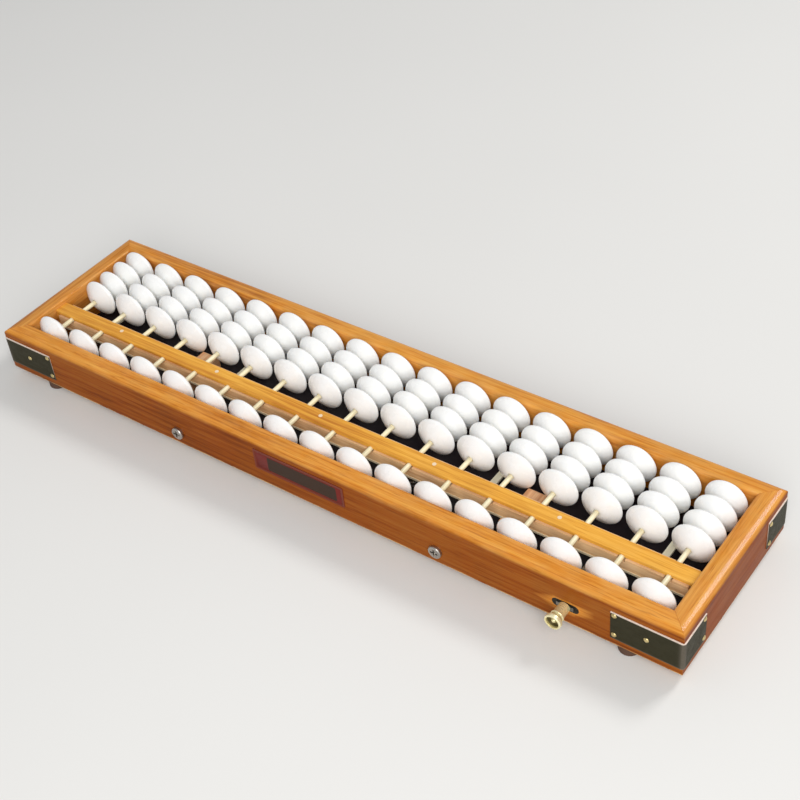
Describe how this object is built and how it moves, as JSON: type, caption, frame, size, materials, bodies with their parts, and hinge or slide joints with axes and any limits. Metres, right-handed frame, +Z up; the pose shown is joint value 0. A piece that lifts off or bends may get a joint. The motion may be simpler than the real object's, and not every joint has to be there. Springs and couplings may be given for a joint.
{
  "type": "soroban abacus",
  "caption": "Bead-frame abacus in a lacquered wooden frame, with a dividing beam, sliding lens-shaped beads on rods and a pull knob that clears the beads.",
  "frame": {"origin": "under the middle of the whole object's box, at the level the feet stand on", "axes": "+X along the frame, -Y towards the upper beads and the pull knob, +Z up"},
  "size_m": [0.3794, 0.1036, 0.0339],
  "materials": {
    "lacquered_wood": "glossy orange-brown lacquer over grain",
    "white_bead": "glossy ivory-white",
    "black_board": "satin black paint on board",
    "bamboo": "polished pale bamboo",
    "pale_pin": "pale inlaid pin",
    "comb_wood": "plain pinkish-brown wood",
    "pale_metal": "pale plated strip",
    "block_wood": "plain wood",
    "dark_steel": "darkened steel",
    "polished_brass": "polished",
    "dark_bronze": "dark bronze, satin",
    "steel": "satin",
    "spring_wire": "drawn wire",
    "nail_brass": "polished",
    "screw_steel": "dull plated",
    "label_enamel": "dark enamel",
    "foot_rubber": "matt"
  },
  "bodies": {
    "frame": {"front_rail": "lacquered_wood", "back_rail": "lacquered_wood", "left_end_rail": "lacquered_wood", "right_end_rail": "lacquered_wood", "beam": "lacquered_wood", "unit_dots": "pale_pin", "floor_board": "black_board", "rods": "bamboo", "cross_bars": "pale_metal", "guide_blocks": "block_wood", "slot_liner": "dark_bronze", "lever_pivots": "steel", "return_springs": "spring_wire", "corner_plates": "dark_bronze", "plate_nails": "nail_brass", "frame_screws": "screw_steel", "label_plate": "label_enamel", "feet": "foot_rubber"},
    "clearing_pull": {"pull_knob": "polished_brass", "pull_bar": "dark_steel", "upper_carrier": "pale_metal", "upper_comb": "comb_wood"},
    "lower_clearer": {"lower_carrier": "pale_metal", "lower_comb": "comb_wood"},
    "left_lever": {"left_lever": "steel"},
    "right_lever": {"right_lever": "steel"},
    "upper_bead_01": {"upper_bead_01": "white_bead"},
    "upper_bead_02": {"upper_bead_02": "white_bead"},
    "upper_bead_03": {"upper_bead_03": "white_bead"},
    "upper_bead_04": {"upper_bead_04": "white_bead"},
    "upper_bead_05": {"upper_bead_05": "white_bead"},
    "upper_bead_06": {"upper_bead_06": "white_bead"},
    "upper_bead_07": {"upper_bead_07": "white_bead"},
    "upper_bead_08": {"upper_bead_08": "white_bead"},
    "upper_bead_09": {"upper_bead_09": "white_bead"},
    "upper_bead_10": {"upper_bead_10": "white_bead"},
    "upper_bead_11": {"upper_bead_11": "white_bead"},
    "upper_bead_12": {"upper_bead_12": "white_bead"},
    "upper_bead_13": {"upper_bead_13": "white_bead"},
    "upper_bead_14": {"upper_bead_14": "white_bead"},
    "upper_bead_15": {"upper_bead_15": "white_bead"},
    "upper_bead_16": {"upper_bead_16": "white_bead"},
    "upper_bead_17": {"upper_bead_17": "white_bead"},
    "lower_beads_01": {"lower_beads_01": "white_bead"},
    "lower_beads_02": {"lower_beads_02": "white_bead"},
    "lower_beads_03": {"lower_beads_03": "white_bead"},
    "lower_beads_04": {"lower_beads_04": "white_bead"},
    "lower_beads_05": {"lower_beads_05": "white_bead"},
    "lower_beads_06": {"lower_beads_06": "white_bead"},
    "lower_beads_07": {"lower_beads_07": "white_bead"},
    "lower_beads_08": {"lower_beads_08": "white_bead"},
    "lower_beads_09": {"lower_beads_09": "white_bead"},
    "lower_beads_10": {"lower_beads_10": "white_bead"},
    "lower_beads_11": {"lower_beads_11": "white_bead"},
    "lower_beads_12": {"lower_beads_12": "white_bead"},
    "lower_beads_13": {"lower_beads_13": "white_bead"},
    "lower_beads_14": {"lower_beads_14": "white_bead"},
    "lower_beads_15": {"lower_beads_15": "white_bead"},
    "lower_beads_16": {"lower_beads_16": "white_bead"},
    "lower_beads_17": {"lower_beads_17": "white_bead"}
  },
  "joints": [
    {"name": "clear_pull", "type": "slide", "parent": "frame", "child": "clearing_pull", "axis": [0, -1, 0], "range_m": [0, 0.0065], "stiffness_N_per_m": 300, "springref_m": -0.006, "deforming": ["return_springs"]},
    {"name": "lower_clear", "type": "slide", "parent": "frame", "child": "lower_clearer", "axis": [0, 1, 0], "range_m": [0, 0.0065]},
    {"name": "left_lever_turn", "type": "hinge", "parent": "frame", "child": "left_lever", "pos_m": [-0.04, -0.01039, 0.01605], "axis": [0, 0, -1], "range_deg": [0, 18.98]},
    {"name": "right_lever_turn", "type": "hinge", "parent": "frame", "child": "right_lever", "pos_m": [0.04, -0.01039, 0.01605], "axis": [0, 0, 1], "range_deg": [0, 18.98]},
    {"name": "upper_bead_01_slide", "type": "slide", "parent": "frame", "child": "upper_bead_01", "axis": [0, -1, 0], "range_m": [-0.0065, 0]},
    {"name": "upper_bead_02_slide", "type": "slide", "parent": "frame", "child": "upper_bead_02", "axis": [0, -1, 0], "range_m": [-0.0065, 0]},
    {"name": "upper_bead_03_slide", "type": "slide", "parent": "frame", "child": "upper_bead_03", "axis": [0, -1, 0], "range_m": [-0.0065, 0]},
    {"name": "upper_bead_04_slide", "type": "slide", "parent": "frame", "child": "upper_bead_04", "axis": [0, -1, 0], "range_m": [-0.0065, 0]},
    {"name": "upper_bead_05_slide", "type": "slide", "parent": "frame", "child": "upper_bead_05", "axis": [0, -1, 0], "range_m": [-0.0065, 0]},
    {"name": "upper_bead_06_slide", "type": "slide", "parent": "frame", "child": "upper_bead_06", "axis": [0, -1, 0], "range_m": [-0.0065, 0]},
    {"name": "upper_bead_07_slide", "type": "slide", "parent": "frame", "child": "upper_bead_07", "axis": [0, -1, 0], "range_m": [-0.0065, 0]},
    {"name": "upper_bead_08_slide", "type": "slide", "parent": "frame", "child": "upper_bead_08", "axis": [0, -1, 0], "range_m": [-0.0065, 0]},
    {"name": "upper_bead_09_slide", "type": "slide", "parent": "frame", "child": "upper_bead_09", "axis": [0, -1, 0], "range_m": [-0.0065, 0]},
    {"name": "upper_bead_10_slide", "type": "slide", "parent": "frame", "child": "upper_bead_10", "axis": [0, -1, 0], "range_m": [-0.0065, 0]},
    {"name": "upper_bead_11_slide", "type": "slide", "parent": "frame", "child": "upper_bead_11", "axis": [0, -1, 0], "range_m": [-0.0065, 0]},
    {"name": "upper_bead_12_slide", "type": "slide", "parent": "frame", "child": "upper_bead_12", "axis": [0, -1, 0], "range_m": [-0.0065, 0]},
    {"name": "upper_bead_13_slide", "type": "slide", "parent": "frame", "child": "upper_bead_13", "axis": [0, -1, 0], "range_m": [-0.0065, 0]},
    {"name": "upper_bead_14_slide", "type": "slide", "parent": "frame", "child": "upper_bead_14", "axis": [0, -1, 0], "range_m": [-0.0065, 0]},
    {"name": "upper_bead_15_slide", "type": "slide", "parent": "frame", "child": "upper_bead_15", "axis": [0, -1, 0], "range_m": [-0.0065, 0]},
    {"name": "upper_bead_16_slide", "type": "slide", "parent": "frame", "child": "upper_bead_16", "axis": [0, -1, 0], "range_m": [-0.0065, 0]},
    {"name": "upper_bead_17_slide", "type": "slide", "parent": "frame", "child": "upper_bead_17", "axis": [0, -1, 0], "range_m": [-0.0065, 0]},
    {"name": "lower_beads_01_slide", "type": "slide", "parent": "frame", "child": "lower_beads_01", "axis": [0, 1, 0], "range_m": [-0.0065, 0]},
    {"name": "lower_beads_02_slide", "type": "slide", "parent": "frame", "child": "lower_beads_02", "axis": [0, 1, 0], "range_m": [-0.0065, 0]},
    {"name": "lower_beads_03_slide", "type": "slide", "parent": "frame", "child": "lower_beads_03", "axis": [0, 1, 0], "range_m": [-0.0065, 0]},
    {"name": "lower_beads_04_slide", "type": "slide", "parent": "frame", "child": "lower_beads_04", "axis": [0, 1, 0], "range_m": [-0.0065, 0]},
    {"name": "lower_beads_05_slide", "type": "slide", "parent": "frame", "child": "lower_beads_05", "axis": [0, 1, 0], "range_m": [-0.0065, 0]},
    {"name": "lower_beads_06_slide", "type": "slide", "parent": "frame", "child": "lower_beads_06", "axis": [0, 1, 0], "range_m": [-0.0065, 0]},
    {"name": "lower_beads_07_slide", "type": "slide", "parent": "frame", "child": "lower_beads_07", "axis": [0, 1, 0], "range_m": [-0.0065, 0]},
    {"name": "lower_beads_08_slide", "type": "slide", "parent": "frame", "child": "lower_beads_08", "axis": [0, 1, 0], "range_m": [-0.0065, 0]},
    {"name": "lower_beads_09_slide", "type": "slide", "parent": "frame", "child": "lower_beads_09", "axis": [0, 1, 0], "range_m": [-0.0065, 0]},
    {"name": "lower_beads_10_slide", "type": "slide", "parent": "frame", "child": "lower_beads_10", "axis": [0, 1, 0], "range_m": [-0.0065, 0]},
    {"name": "lower_beads_11_slide", "type": "slide", "parent": "frame", "child": "lower_beads_11", "axis": [0, 1, 0], "range_m": [-0.0065, 0]},
    {"name": "lower_beads_12_slide", "type": "slide", "parent": "frame", "child": "lower_beads_12", "axis": [0, 1, 0], "range_m": [-0.0065, 0]},
    {"name": "lower_beads_13_slide", "type": "slide", "parent": "frame", "child": "lower_beads_13", "axis": [0, 1, 0], "range_m": [-0.0065, 0]},
    {"name": "lower_beads_14_slide", "type": "slide", "parent": "frame", "child": "lower_beads_14", "axis": [0, 1, 0], "range_m": [-0.0065, 0]},
    {"name": "lower_beads_15_slide", "type": "slide", "parent": "frame", "child": "lower_beads_15", "axis": [0, 1, 0], "range_m": [-0.0065, 0]},
    {"name": "lower_beads_16_slide", "type": "slide", "parent": "frame", "child": "lower_beads_16", "axis": [0, 1, 0], "range_m": [-0.0065, 0]},
    {"name": "lower_beads_17_slide", "type": "slide", "parent": "frame", "child": "lower_beads_17", "axis": [0, 1, 0], "range_m": [-0.0065, 0]}
  ],
  "couplings": [
    {"joint": "lower_clear", "follows": "clear_pull", "ratio": 1},
    {"joint": "left_lever_turn", "follows": "clear_pull", "rad_per_m": 50.914},
    {"joint": "right_lever_turn", "follows": "clear_pull", "rad_per_m": 50.914}
  ]
}
